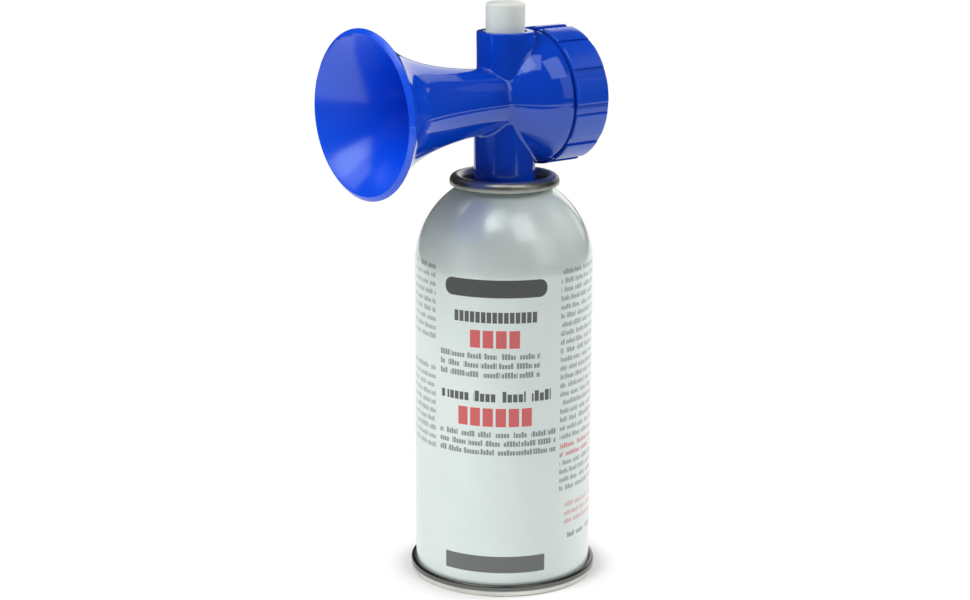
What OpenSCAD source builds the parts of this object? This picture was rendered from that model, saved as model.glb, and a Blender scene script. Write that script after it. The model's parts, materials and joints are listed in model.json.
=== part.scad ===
// Hand-held gas air horn: a moulded horn head screwed onto a drawn steel can.
// Millimetres, +Z up. The can's axis is Z and its seam stands on z = 0.
// The horn's axis lies along X, with the bell towards -X and the screw cap towards +X.

/* [Can] */
// Outer radius of the can's straight wall
can_r = 26.2; // [24:0.1:30]
// Thickness of the drawn can wall
can_wall = 0.3; // [0.2:0.05:0.5]
// Height where the straight wall turns into the shoulder
shoulder_z = 94.8; // [60:0.2:150]
// Radial half axis of the shoulder's oval
shoulder_reach = 27.8; // [24:0.1:34]
// Upright half axis of the shoulder's oval
shoulder_rise = 26.7; // [20:0.1:34]
// Radius of the can's mouth
mouth_r = 12.7; // [11.5:0.1:14]
// Radius of the rolled curl round the mouth
curl_r = 1.4; // [1.1:0.05:1.8]
// Height of the bottom double seam
seam_h = 3.3; // [2.8:0.1:4.5]
// How far the seam stands out from the can wall
seam_out = 1.5; // [1.3:0.05:2.2]
// Thickness of the bottom end's plate
end_t = 0.35; // [0.25:0.05:0.4]
// Rounding of the seam's outer corners
seam_round = 0.6; // [0.3:0.05:0.8]
// Height of the end's wall above the seam's foot
chuck_h = 4.2; // [3.6:0.1:6]
// Rise of the domed bottom end
end_rise = 7; // [4:0.5:10]
// Gap between the end of each seam hook and the fold that it lies in
hook_gap = 0.3; // [0.2:0.05:0.5]

/* [Valve cup] */
// Thickness of the cup's plate
cup_t = 0.35; // [0.25:0.05:0.5]
// Thickness of the gasket between the cup and the curl
cup_gasket_t = 0.25; // [0.15:0.05:0.5]
// Depth of the recess below the top of the cup's ring
cup_depth = 7.3; // [6:0.1:10]
// How far the ring reaches down outside the curl, from the curl's centre
skirt_drop = 0.7; // [0.3:0.1:1]
// How far the crimp swells out below the curl
crimp_out = 0.8; // [0.3:0.1:1.2]
// Distance from the can's neck down to the crimp
crimp_drop = 0.2; // [0.1:0.05:0.4]
// Straight wall left below the crimp
crimp_rest = 0.3; // [0.1:0.05:0.5]
// Rounding between the recess wall and its floor
cup_round = 1; // [0.5:0.1:1.2]

/* [Valve] */
// Radius over the threads of the boss, 7/16 inch
boss_r = 5.55; // [4.5:0.05:6]
// Height of the threaded boss above the cup's floor
boss_h = 7; // [6.2:0.1:8]
// Width of the flange that holds the boss under the floor
boss_flange = 2.4; // [1.5:0.1:3]
// Thickness of that flange
boss_flange_t = 1.2; // [0.8:0.1:2]
// Thickness of the gasket between the flange and the floor
boss_gasket_t = 0.6; // [0.4:0.1:1]
// Height of the lip rolled over the floor's edge
boss_lip_h = 0.45; // [0.3:0.05:0.6]
// Width of that lip
boss_lip_w = 0.7; // [0.4:0.1:1]
// Radius of the way through the boss
boss_bore_r = 2.2; // [2:0.05:2.6]
// Outer radius of the valve housing
housing_r = 4.5; // [4.2:0.1:4.8]
// Height of the valve housing
housing_h = 9; // [8:0.1:12]
// Radius of the housing's spring chamber
chamber_r = 3.2; // [3:0.05:3.4]
// Thickness of the housing's floor
housing_floor = 1.5; // [1:0.1:2]
// Radius of the gas inlet in the housing's floor
inlet_r = 0.9; // [0.5:0.1:1.2]
// Depth of the boss's skirt round the housing
skirt_grip = 4; // [2:0.1:6]
// Wall of the boss's skirt
skirt_wall = 1.3; // [0.8:0.1:1.8]
// Thickness of the gasket round the valve stem
stem_gasket_t = 1; // [0.8:0.1:1.4]
// Outer radius of the hollow valve stem
stem_r = 1.6; // [1.4:0.05:1.8]
// Radius of the stem's bore
stem_bore_r = 0.8; // [0.6:0.05:0.95]
// Radius of the stem's side port
port_r = 0.35; // [0.25:0.05:0.4]
// How far the stem stands out of the boss
stem_out = 4; // [3:0.1:5]
// Radius of the stem's sealing flange
poppet_r = 2.85; // [2.5:0.05:2.9]
// Thickness of that flange
poppet_t = 1.2; // [0.8:0.1:1.5]
// Length of the pilot inside the spring
pilot_h = 1.5; // [0.8:0.1:1.8]
// Radius of that pilot
pilot_r = 1.4; // [1:0.05:1.7]
// Wire thickness of the valve spring
wire_d = 0.5; // [0.4:0.05:0.55]
// Mean radius of the valve spring
coil_r = 2.3; // [2.1:0.05:2.5]
// Number of coils in the valve spring
coils = 4.5; // [3.5:0.5:4.5]

/* [Horn] */
// Outer radius of the stem below the horn
post_r = 9; // [8.9:0.05:9.6]
// Outer radius of the barrel above the horn
barrel_r = 8.3; // [7.8:0.05:8.9]
// Height of the barrel's rim above the horn's axis
barrel_h = 19.7; // [17:0.1:24]
// Radius of the bore for the button
bore_r = 6; // [5.8:0.05:6.4]
// Small bevel on the rims of the barrel and the stem
rim_bevel = 0.35; // [0.1:0.05:0.5]
// Distance from the can's axis to the back edge of the bell's lip
bell_x = 49.8; // [40:0.1:70]
// Radius of the bell at the back edge of its lip
bell_r = 24.05; // [22:0.05:25]
// Length of the lip band from its back edge to the mouth
lip_l = 1.25; // [0.8:0.05:3.5]
// Radius that the lip band loses towards the mouth
lip_drop = 1.5; // [0.8:0.1:2]
// Outer radius of the horn's waist
waist_r = 9.1; // [8.8:0.05:10]
// Even part of the flare between the waist and the lip
flare_even = 9.3; // [7:0.1:10]
// How sharply the flare opens at the bell
flare_power = 5.8; // [4:0.1:9]
// Radius of the throat bore
throat_r = 2.4; // [2:0.05:2.6]
// Outer radius of the throat tube
tube_r = 3.6; // [3.4:0.05:3.8]
// Share of the bell's inside that opens evenly
bore_even = 0.65; // [0.6:0.01:0.7]

/* [Sound chamber] */
// Distance from the can's axis back to the start of the chamber's dome
cone_x = -4; // [-5:0.1:-3]
// Distance from the can's axis to the chamber's sharp front edge
edge_x = 9.6; // [8.9:0.1:10.5]
// Radius of that edge
edge_r = 19.25; // [18.9:0.05:20]
// How far the dome swells out between its start and the edge
cone_bulge = 1.4; // [0.8:0.05:1.8]
// Thickness of the flange behind the edge
flange_t = 0.5; // [0.4:0.1:2]
// How far the flange stands out over the chamber's threads
flange_lip = 0.85; // [0.6:0.05:1.2]
// Length of the threaded rim behind the flange
rim_l = 6.4; // [6:0.1:8]
// Wall of the threaded rim round the chamber
rim_wall = 2.8; // [2.4:0.1:3.4]
// Distance from the can's axis to the chamber's floor
well_x = 8; // [7.9:0.1:8.5]
// Width of the slope round that floor
well_slope = 1.5; // [1:0.1:2]
// Radius of the gas way round the throat tube
gas_r = 5.2; // [4.6:0.05:5.4]

/* [Thread insert] */
// Outer radius of the threaded insert in the stem
insert_r = 7.4; // [7:0.05:7.7]
// Thickness of the insert's inner ledge
ledge_t = 1.2; // [0.8:0.1:2]
// Radius of the hole in that ledge
ledge_hole_r = 3.3; // [2.9:0.1:3.8]
// Thickness of the washer that seals the boss
washer_t = 0.8; // [0.5:0.1:1.2]
// Radius of the hole in the washer
washer_hole_r = 3; // [2.8:0.1:3.2]

/* [Button] */
// Radius of the push button
button_r = 5.65; // [5.2:0.05:5.7]
// How far the button stands out of the barrel
button_out = 8.3; // [6:0.1:12]
// Rounding of the button's top edge
button_round = 1; // [0.4:0.1:1.6]
// Travel of the button and the valve stem
travel = 2.2; // [1.6:0.1:2.4]
// Length of the button's sealing collar
collar_h = 6.5; // [6:0.1:7]
// Thickness of the O-ring's cord
o_ring_d = 1; // [0.8:0.05:1.2]
// Distance from the top of the collar down to the O-ring's groove
groove_drop = 1.8; // [1:0.1:2]
// Thickness of the pusher's disc
disc_t = 2.5; // [2:0.1:3]
// Radius of the pusher's rod
rod_r = 2.2; // [1.9:0.05:2.4]
// Radius of the gas notches in the disc's rim
notch_r = 1.3; // [1:0.05:1.6]
// Width and depth of the gas slot in the rod's foot
slot_w = 1; // [0.8:0.1:1.4]

/* [Cap and diaphragm] */
// Thickness of the gasket before the diaphragm
front_gasket_t = 0.6; // [0.4:0.1:1]
// Thickness of the diaphragm
diaphragm_t = 0.25; // [0.15:0.05:0.4]
// Thickness of the ring that clamps the diaphragm
clamp_t = 2; // [1.5:0.1:3]
// Width of the gasket and the clamp ring
clamp_w = 2.2; // [1.8:0.1:2.4]
// How far the diaphragm's rim lies inside the chamber's threads
disk_inset = 0.5; // [0.3:0.1:0.8]
// Wall of the cap round the chamber's threads, over the grip lands
cap_wall = 1.6; // [1.3:0.05:2.2]
// Thickness of the cap's end wall
cap_end_t = 3.35; // [2:0.05:4]
// Rounding of the cap's back edge
cap_round = 1; // [0.5:0.1:1.5]
// Number of grip grooves round the cap
groove_count = 12; // [8:1:16]
// Width of a grip groove
groove_w = 3.1; // [2:0.1:4]
// Depth of a grip groove
groove_d = 0.55; // [0.3:0.05:0.7]
// Turn of the grooves from the cap's lowest point, in degrees
groove_turn = 6; // [0:0.5:30]
// Width of the flat rim round the dish in the cap's back face
dish_rim = 5.6; // [3:0.05:10]
// Depth of that dish
dish_d = 0.8; // [0.4:0.1:1.2]
// Depth of the hollow behind the diaphragm
hollow_d = 1; // [0.6:0.1:1.2]
// Radius of the vent in the cap
vent_r = 1; // [0.6:0.1:1.5]

/* [Clearances] */
// Clearance of a thread's plain cylinders
thread_gap = 0.08; // [0.03:0.01:0.1]
// Clearance of a piece that slides in its bore
slide_gap = 0.07; // [0.03:0.01:0.1]
// Gap between faces that press on each other in use
press_gap = 0.03; // [0.01:0.01:0.1]
// Gap between the foot of the stem and the cup's floor
foot_gap = 0.8; // [0.7:0.1:1.2]
// Gap between the lowest point of the cap and the top of the cup's ring
cap_gap = 1.8; // [0.6:0.05:6]
// Gap between the pusher's disc and the throat tube above it
stop_gap = 0.3; // [0.2:0.05:0.5]
// Gap left over the throat tube when the button is down
crotch_gap = 0.4; // [0.3:0.1:0.8]
// Gap between the button's legs and the throat tube
leg_gap = 0.15; // [0.1:0.05:0.25]
// Room for the O-ring along its groove
o_ring_room = 0.4; // [0.2:0.05:0.5]
// Gap between the chamber's flange and the cap behind it
flange_gap = 0.8; // [0.3:0.1:1]

/* [Hidden] */
$fn = 96;
over = 1;
round_steps = 8;
horn_blue = [0.04, 0.16, 0.72];
button_white = [0.86, 0.88, 0.86];
can_paint = [0.80, 0.84, 0.83];
tinplate = [0.62, 0.62, 0.58];
brass_tone = [0.78, 0.62, 0.32];
rubber_black = [0.06, 0.06, 0.06];
natural_plastic = [0.90, 0.89, 0.84];

// The shoulder's oval, up to the neck
neck_r = mouth_r + can_wall;
neck_turn = acos(1 - (can_r - neck_r) / shoulder_reach);
neck_z = shoulder_z + shoulder_rise * sin(neck_turn);
shoulder_steps = 24;

// The curl, and the cup's ring over it
curl_c = mouth_r + curl_r;
curl_z = neck_z + curl_r;
gasket_over = curl_r + cup_gasket_t;
cup_over = gasket_over + cup_t;
cup_top_z = curl_z + cup_over;
cup_wall_r = curl_c - cup_over;
skirt_z = curl_z - skirt_drop;
curl_end = -60;
ring_steps = 18;
curl_steps = ring_steps * (180 - curl_end) / 180;

// The double seam's layers, from the can wall outwards
layer_gap = (seam_out - 2 * end_t - can_wall) / 3;
seam_r = can_r + seam_out;
cover_hook_r = can_r + layer_gap;
body_hook_r = cover_hook_r + end_t + layer_gap;
hook_foot_z = end_t + layer_gap;
hook_top_z = seam_h - end_t;

// The valve's heights
floor_z = cup_top_z - cup_depth;
crimp_top_z = neck_z - crimp_drop;
crimp_h = crimp_top_z - crimp_rest - cup_round - floor_z;
boss_top_z = floor_z + boss_h;
flange_z = floor_z - cup_t - boss_gasket_t;
gasket_z = flange_z - stem_gasket_t;
housing_z = gasket_z - housing_h;
spring_foot_z = housing_z + housing_floor;
poppet_z = gasket_z - press_gap - poppet_t;
stem_top_z = boss_top_z + stem_out;
flange_r = boss_r + boss_flange;

// The chamber's and the cap's radii
rim_r = edge_r - flange_lip;
well_r = rim_r - rim_wall;
cap_thread_r = rim_r + thread_gap;
cap_r = cap_thread_r + cap_wall;
dish_r = cap_r - dish_rim;
disk_r = rim_r - disk_inset;
clamp_in_r = disk_r - clamp_w;

// The head's heights
foot_z = floor_z + foot_gap;
horn_z = cup_top_z + cap_gap + cap_r;
barrel_z = horn_z + barrel_h;
socket_top_z = boss_top_z + washer_t;
insert_z = socket_top_z + ledge_t;
socket_r = boss_r + thread_gap;

// The button's heights
slide_r = bore_r - slide_gap;
disc_top_z = horn_z - tube_r - stop_gap;
crotch_z = horn_z + tube_r + travel + crotch_gap;
button_z = barrel_z + button_out;
groove_h = o_ring_d + o_ring_room;
groove_z = crotch_z + collar_h - groove_drop - groove_h;
o_ring_z = groove_z + groove_h / 2;
o_ring_c = slide_r - o_ring_d / 2;

// The horn's lengths along X, from the can's axis
mouth_x = -bell_x - lip_l;
mouth_in_r = bell_r - lip_drop;
flare_sharp = bell_r - waist_r - flare_even;
flare_steps = 24;
dome_steps = 6;
flare_root_x = -bore_r;
flange_x = edge_x + flange_t;
rim_x = flange_x + rim_l;
diaphragm_x = rim_x + front_gasket_t;
clamp_x = diaphragm_x + diaphragm_t;
cap_seat_x = clamp_x + clamp_t;
cap_front_x = flange_x + flange_gap;
cap_back_x = cap_seat_x + cap_end_t;

// Points on an arc about c, from angle a to angle b
function arc(c, r, a, b, steps) =
  [for (i = [0:steps]) let (t = a + (b - a) * i / steps) [c[0] + r * cos(t), c[1] + r * sin(t)]];

// Point on the can's shoulder, drawn in from its outer face by inset
function shoulder(t, inset) =
  let (n = [cos(t) / shoulder_reach, sin(t) / shoulder_rise])
  [can_r - shoulder_reach * (1 - cos(t)), shoulder_z + shoulder_rise * sin(t)] - inset * n / norm(n);

// Outer radius of the flare at a distance x along the horn, with x below 0
function flare_out(x) =
  let (s = -x / bell_x)
  waist_r + flare_even * pow(s, 2) + flare_sharp * pow(s, flare_power);

// Inner radius of the bell at a distance x along the horn
function flare_in(x) =
  let (s = (x - flare_root_x) / (mouth_x - flare_root_x), open_r = mouth_in_r - throat_r)
  throat_r + open_r * (bore_even * s + (1 - bore_even) * pow(s, 5));

// Points down the crimped wall of the valve cup for a list of turns, r being its radius
function crimp(r, turns) =
  [for (t = turns) [r + crimp_out * (1 - cos(t)) / 2, crimp_top_z - crimp_h * t / 360]];

// Lays a shape turned about Z along the horn's axis
module along_horn() {
  translate([0, 0, horn_z]) rotate([0, 90, 0]) children();
}

// Drawn steel can with its domed shoulder, rolled mouth and flanged foot
module can_body() {
  color(can_paint)
    rotate_extrude()
      polygon(concat(
        [[can_r, hook_foot_z + can_wall]],
        [for (i = [0:shoulder_steps]) shoulder(neck_turn * i / shoulder_steps, 0)],
        arc([curl_c, curl_z], curl_r - can_wall, 180, curl_end, curl_steps),
        arc([curl_c, curl_z], curl_r, curl_end, 180, curl_steps),
        [[mouth_r, neck_z]],
        [for (i = [shoulder_steps:-1:0]) shoulder(neck_turn * i / shoulder_steps, can_wall)],
        [
          [can_r - can_wall, hook_foot_z],
          [body_hook_r + can_wall, hook_foot_z],
          [body_hook_r + can_wall, hook_top_z - hook_gap],
          [body_hook_r, hook_top_z - hook_gap],
          [body_hook_r, hook_foot_z + can_wall]
        ]
      ));
}

// Domed bottom end, its edge folded round the can's flange as the double seam
module can_bottom() {
  wall_r = can_r - can_wall - end_t;
  dome_r = (pow(wall_r, 2) + pow(end_rise, 2)) / (2 * end_rise);
  dome_turn = asin(wall_r / dome_r);
  dome_c = [0, chuck_h + end_rise - dome_r];
  dome_steps = 14;
  color(tinplate)
    rotate_extrude()
      polygon(concat(
        [for (p = arc(dome_c, dome_r, 90, 90 - dome_turn, dome_steps)) [max(p[0], 0), p[1]]],
        arc([wall_r + seam_round, seam_round], seam_round, 180, 270, round_steps),
        arc([seam_r - seam_round, seam_round], seam_round, -90, 0, round_steps),
        arc([seam_r - seam_round, seam_h - seam_round], seam_round, 0, 90, round_steps),
        [
          [cover_hook_r + end_t, seam_h],
          [cover_hook_r, hook_top_z],
          [cover_hook_r, hook_foot_z + can_wall + hook_gap],
          [cover_hook_r + end_t, hook_foot_z + can_wall + hook_gap],
          [cover_hook_r + end_t, hook_top_z],
          [seam_r - end_t, hook_top_z],
          [seam_r - end_t, end_t],
          [wall_r + end_t, end_t],
          [wall_r + end_t, chuck_h]
        ],
        [for (p = arc(dome_c, dome_r + end_t, 90 - dome_turn, 90, dome_steps)) [max(p[0], 0), p[1]]]
      ));
}

// Sealing compound between the end and the can's flange
module seam_compound() {
  color(rubber_black)
    translate([0, 0, end_t])
      difference() {
        cylinder(r = body_hook_r + can_wall, h = layer_gap);
        translate([0, 0, -over]) cylinder(r = can_r - can_wall, h = layer_gap + 2 * over);
      }
}

// Plate cup crimped over the can's curl, with the recess round the horn's stem
module valve_cup() {
  corner = [cup_wall_r - cup_round, floor_z + cup_round];
  color(tinplate)
    rotate_extrude()
      polygon(concat(
        [[curl_c + gasket_over, skirt_z], [curl_c + cup_over, skirt_z]],
        arc([curl_c, curl_z], cup_over, 0, 180, ring_steps),
        crimp(cup_wall_r, [0:45:360]),
        arc(corner, cup_round, 0, -90, round_steps),
        [[boss_r, floor_z], [boss_r, floor_z - cup_t]],
        arc(corner, cup_round + cup_t, -90, 0, round_steps),
        crimp(cup_wall_r + cup_t, [360:-45:0]),
        arc([curl_c, curl_z], gasket_over, 180, 0, ring_steps)
      ));
}

// Sleeve gasket over the curl, gripped by the cup
module cup_gasket() {
  color(rubber_black)
    rotate_extrude()
      polygon(concat(
        arc([curl_c, curl_z], gasket_over, 0, 180, ring_steps),
        [[mouth_r - cup_gasket_t, neck_z], [mouth_r, neck_z]],
        arc([curl_c, curl_z], curl_r, 180, 0, ring_steps)
      ));
}

// Flat gasket between the boss's flange and the cup's floor
module boss_gasket() {
  color(rubber_black)
    translate([0, 0, flange_z])
      difference() {
        cylinder(r = flange_r, h = boss_gasket_t);
        translate([0, 0, -over]) cylinder(r = boss_r, h = boss_gasket_t + 2 * over);
      }
}

// Threaded boss that the head screws onto, with a skirt that holds the valve housing
module valve_boss() {
  skirt_z = gasket_z - skirt_grip;
  color(brass_tone)
    difference() {
      union() {
        translate([0, 0, skirt_z]) cylinder(r = housing_r + skirt_wall, h = flange_z - skirt_z);
        translate([0, 0, flange_z - boss_flange_t]) cylinder(r = flange_r, h = boss_flange_t);
        translate([0, 0, flange_z]) cylinder(r = boss_r, h = boss_top_z - flange_z);
        translate([0, 0, floor_z]) cylinder(r = boss_r + boss_lip_w, h = boss_lip_h);
      }
      translate([0, 0, skirt_z - over]) cylinder(r = housing_r, h = flange_z - skirt_z + over);
      translate([0, 0, flange_z - over]) cylinder(r = boss_bore_r, h = boss_top_z - flange_z + 2 * over);
    }
}

// Rubber ring round the valve stem that covers its side port at rest
module stem_gasket() {
  color(rubber_black)
    translate([0, 0, gasket_z])
      difference() {
        cylinder(r = housing_r, h = stem_gasket_t);
        translate([0, 0, -over]) cylinder(r = stem_r + press_gap, h = stem_gasket_t + 2 * over);
      }
}

// Plastic valve housing with the spring chamber and the gas inlet
module valve_housing() {
  color(natural_plastic)
    translate([0, 0, housing_z])
      difference() {
        cylinder(r = housing_r, h = housing_h);
        translate([0, 0, housing_floor]) cylinder(r = chamber_r, h = housing_h);
        translate([0, 0, -over]) cylinder(r = inlet_r, h = housing_h);
      }
}

// Hollow valve stem with its sealing flange, spring pilot and side port
module valve_stem() {
  port_z = gasket_z + stem_gasket_t / 2;
  color(natural_plastic)
    difference() {
      union() {
        translate([0, 0, poppet_z - pilot_h]) cylinder(r = pilot_r, h = pilot_h);
        translate([0, 0, poppet_z]) cylinder(r = poppet_r, h = poppet_t);
        translate([0, 0, poppet_z]) cylinder(r = stem_r, h = stem_top_z - poppet_z);
      }
      translate([0, 0, port_z - port_r]) cylinder(r = stem_bore_r, h = stem_top_z - port_z + over);
      translate([-stem_r - over, 0, port_z]) rotate([0, 90, 0]) cylinder(r = port_r, h = 2 * (stem_r + over));
    }
}

// Valve spring between the housing's floor and the stem's flange
module valve_spring() {
  sides = 6;
  turn_steps = 12;
  steps = round(coils * turn_steps);
  low_z = spring_foot_z + wire_d / 2 + press_gap;
  high_z = poppet_z - wire_d / 2 - press_gap;
  points = [
    for (i = [0:steps])
      let (a = 360 * i / turn_steps, z = low_z + (high_z - low_z) * i / steps)
      for (k = [0:sides - 1])
        let (b = 360 * k / sides, r = coil_r + wire_d / 2 * cos(b))
        [r * cos(a), r * sin(a), z + wire_d / 2 * sin(b)]
  ];
  sleeve = [
    for (i = [0:steps - 1])
      for (k = [0:sides - 1])
        let (here = i * sides + k, beside = i * sides + (k + 1) % sides)
        each [[here, here + sides, beside], [beside, here + sides, beside + sides]]
  ];
  first_end = [for (k = [1:sides - 2]) [0, k, k + 1]];
  last_end = [for (k = [1:sides - 2]) [steps * sides, steps * sides + k + 1, steps * sides + k]];
  color(tinplate) polyhedron(points, concat(sleeve, first_end, last_end));
}

// The horn's turned outside: lip band, flare, waist, dome, flange and threaded rim
module horn_turned() {
  cone_r = flare_out(cone_x);
  along_horn()
    rotate_extrude()
      polygon(concat(
        [[0, mouth_x], [mouth_in_r, mouth_x]],
        [for (i = [0:flare_steps])
          let (x = (bell_x + cone_x) * i / flare_steps - bell_x) [flare_out(x), x]],
        [for (i = [1:dome_steps])
          let (t = i / dome_steps, swell = 4 * cone_bulge * t * (1 - t))
          [cone_r + (edge_r - cone_r) * t + swell, cone_x + (edge_x - cone_x) * t - swell]],
        [
          [edge_r, flange_x],
          [rim_r, flange_x],
          [rim_r, rim_x],
          [0, rim_x]
        ]
      ));
}

// Round post with bevelled rims, from z = low to z = high
module post(r, low, high) {
  rotate_extrude()
    polygon([
      [0, low],
      [r - rim_bevel, low],
      [r, low + rim_bevel],
      [r, high - rim_bevel],
      [r - rim_bevel, high],
      [0, high]
    ]);
}

// Everything cut out of the horn along its own axis
module horn_ways() {
  cone_slope = (edge_r - waist_r) / (edge_x - cone_x);
  along_horn() {
    rotate_extrude()
      polygon(concat(
        [[0, mouth_x - over], [mouth_in_r, mouth_x - over]],
        [for (i = [0:flare_steps])
          let (x = mouth_x + (flare_root_x - mouth_x) * i / flare_steps) [flare_in(x), x]],
        [[0, flare_root_x]]
      ));
    translate([0, 0, flare_root_x - over]) cylinder(r = throat_r, h = diaphragm_x - flare_root_x + 2 * over);
    rotate_extrude()
      polygon([
        [tube_r, 0],
        [gas_r, 0],
        [gas_r, well_x],
        [well_r - well_slope, well_x],
        [well_r, well_x + well_slope / cone_slope],
        [well_r, diaphragm_x + over],
        [tube_r, diaphragm_x + over]
      ]);
  }
}

// One moulding: bell, flare, throat tube, sound chamber, button barrel and stem
module horn_body() {
  color(horn_blue)
    difference() {
      union() {
        horn_turned();
        post(barrel_r, horn_z, barrel_z);
        post(post_r, foot_z, horn_z);
        along_horn() cylinder(r = tube_r, h = diaphragm_x);
      }
      horn_ways();
      difference() {
        translate([0, 0, insert_z]) cylinder(r = bore_r, h = barrel_z - insert_z + over);
        along_horn() translate([0, 0, -bore_r - over]) cylinder(r = tube_r, h = 2 * (bore_r + over));
      }
      translate([0, 0, barrel_z - rim_bevel])
        cylinder(r1 = bore_r, r2 = bore_r + rim_bevel + over, h = rim_bevel + over);
      translate([0, 0, foot_z - over]) cylinder(r = insert_r, h = insert_z - foot_z + over);
    }
}

// Threaded insert fixed in the stem, with the ledge that the washer seats against
module thread_insert() {
  color(brass_tone)
    difference() {
      translate([0, 0, foot_z]) cylinder(r = insert_r, h = insert_z - foot_z);
      translate([0, 0, foot_z - over]) cylinder(r = socket_r, h = socket_top_z - foot_z + over);
      translate([0, 0, socket_top_z - over]) cylinder(r = ledge_hole_r, h = ledge_t + 2 * over);
    }
}

// Rubber washer in the insert, pressed on the top of the boss
module head_washer() {
  color(rubber_black)
    difference() {
      translate([0, 0, boss_top_z + press_gap]) cylinder(r = boss_r, h = washer_t - 2 * press_gap);
      translate([0, 0, boss_top_z - over]) cylinder(r = washer_hole_r, h = washer_t + 2 * over);
    }
}

// Push button with its sealing collar and the two legs that pass the throat tube
module push_button() {
  leg_y = tube_r + leg_gap;
  collar_z = crotch_z + collar_h;
  color(button_white)
    difference() {
      union() {
        rotate_extrude()
          polygon(concat(
            [[0, crotch_z], [slide_r, crotch_z], [slide_r, collar_z], [button_r, collar_z]],
            arc([button_r - button_round, button_z - button_round], button_round, 0, 90, round_steps),
            [[0, button_z]]
          ));
        for (side = [-1, 1])
          intersection() {
            translate([0, 0, disc_top_z]) cylinder(r = slide_r, h = crotch_z - disc_top_z + over);
            translate([-slide_r, side > 0 ? leg_y : -leg_y - slide_r, disc_top_z])
              cube([2 * slide_r, slide_r, crotch_z - disc_top_z + over]);
          }
      }
      translate([0, 0, groove_z])
        difference() {
          cylinder(r = slide_r + over, h = groove_h);
          translate([0, 0, -over]) cylinder(r = slide_r - o_ring_d, h = groove_h + 2 * over);
        }
    }
}

// Rubber ring in the collar's groove
module button_o_ring() {
  color(rubber_black)
    translate([0, 0, o_ring_z])
      rotate_extrude()
        translate([o_ring_c, 0]) circle(d = o_ring_d, $fn = 24);
}

// Pusher under the throat tube, snapped to the legs: its rod presses the valve stem
module stem_pusher() {
  disc_z = disc_top_z - disc_t;
  rod_z = stem_top_z + press_gap;
  color(natural_plastic)
    difference() {
      union() {
        translate([0, 0, disc_z]) cylinder(r = slide_r, h = disc_t);
        translate([0, 0, rod_z]) cylinder(r = rod_r, h = disc_z - rod_z + over);
      }
      for (a = [0:90:270])
        rotate(a)
          translate([slide_r, 0, disc_z - over])
            cylinder(r = notch_r, h = disc_t + 2 * over, $fn = 32);
      translate([-rod_r - over, -slot_w / 2, rod_z - over]) cube([2 * (rod_r + over), slot_w, slot_w + over]);
    }
}

// Flat ring with the clamp's width, t thick, laid along the horn from x
module clamp_band(x, t) {
  along_horn()
    translate([0, 0, x])
      difference() {
        cylinder(r = disk_r, h = t);
        translate([0, 0, -over]) cylinder(r = clamp_in_r, h = t + 2 * over);
      }
}

// Gasket between the threaded rim and the diaphragm
module diaphragm_gasket() {
  color(rubber_black) clamp_band(rim_x, front_gasket_t);
}

// Thin disc that sounds the horn, resting on the end of the throat tube
module diaphragm() {
  color(tinplate) along_horn() translate([0, 0, diaphragm_x]) cylinder(r = disk_r, h = diaphragm_t);
}

// Pressure ring that the cap drives against the diaphragm
module clamp_ring() {
  color(natural_plastic) clamp_band(clamp_x + press_gap, clamp_t - 2 * press_gap);
}

// Screw cap with its grip grooves, hollow, dish and vent
module screw_cap() {
  color(horn_blue)
    along_horn()
      difference() {
        rotate_extrude()
          polygon(concat(
            [
              [cap_thread_r, cap_front_x],
              [cap_r - rim_bevel, cap_front_x],
              [cap_r, cap_front_x + rim_bevel]
            ],
            arc([cap_r - cap_round, cap_back_x - cap_round], cap_round, 0, 90, round_steps),
            [
              [dish_r, cap_back_x],
              [dish_r - dish_d, cap_back_x - dish_d],
              [vent_r, cap_back_x - dish_d],
              [vent_r, cap_seat_x + hollow_d],
              [clamp_in_r, cap_seat_x + hollow_d],
              [clamp_in_r, cap_seat_x],
              [cap_thread_r, cap_seat_x]
            ]
          ));
        for (i = [0:groove_count - 1])
          rotate(groove_turn + 360 * i / groove_count)
            translate([cap_r - groove_d, -groove_w / 2, cap_front_x - over])
              cube([groove_d + over, groove_w, cap_back_x - cap_front_x + 2 * over]);
      }
}

can_body();
can_bottom();
seam_compound();
valve_cup();
cup_gasket();
boss_gasket();
valve_boss();
stem_gasket();
valve_housing();
valve_stem();
valve_spring();
horn_body();
thread_insert();
head_washer();
push_button();
button_o_ring();
stem_pusher();
diaphragm_gasket();
diaphragm();
clamp_ring();
screw_cap();
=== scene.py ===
# A hand-held gas air horn: a blue moulded horn head on a small drawn steel can.
# Sizes are in millimetres and are multiplied by mm where they reach Blender.
import json
import math

import bmesh
import bpy
import numpy as np
from mathutils import Matrix, Quaternion, Vector


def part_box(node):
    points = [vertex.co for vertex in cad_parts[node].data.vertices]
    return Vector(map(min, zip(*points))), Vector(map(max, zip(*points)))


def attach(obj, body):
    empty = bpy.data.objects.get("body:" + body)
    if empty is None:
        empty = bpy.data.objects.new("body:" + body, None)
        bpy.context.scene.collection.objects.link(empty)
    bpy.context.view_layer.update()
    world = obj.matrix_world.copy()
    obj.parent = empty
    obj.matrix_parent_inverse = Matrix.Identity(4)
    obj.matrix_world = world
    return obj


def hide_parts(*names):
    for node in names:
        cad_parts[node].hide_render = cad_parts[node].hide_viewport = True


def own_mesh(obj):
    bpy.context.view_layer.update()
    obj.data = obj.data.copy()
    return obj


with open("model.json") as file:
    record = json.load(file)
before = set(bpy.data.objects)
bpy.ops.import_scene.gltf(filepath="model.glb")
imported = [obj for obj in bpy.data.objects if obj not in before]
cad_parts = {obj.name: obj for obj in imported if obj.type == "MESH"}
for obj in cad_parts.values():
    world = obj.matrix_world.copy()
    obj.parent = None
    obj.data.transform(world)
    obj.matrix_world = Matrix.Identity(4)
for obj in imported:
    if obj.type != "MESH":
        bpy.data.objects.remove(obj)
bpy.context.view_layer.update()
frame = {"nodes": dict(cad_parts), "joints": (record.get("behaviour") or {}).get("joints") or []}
mm = 0.001


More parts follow.
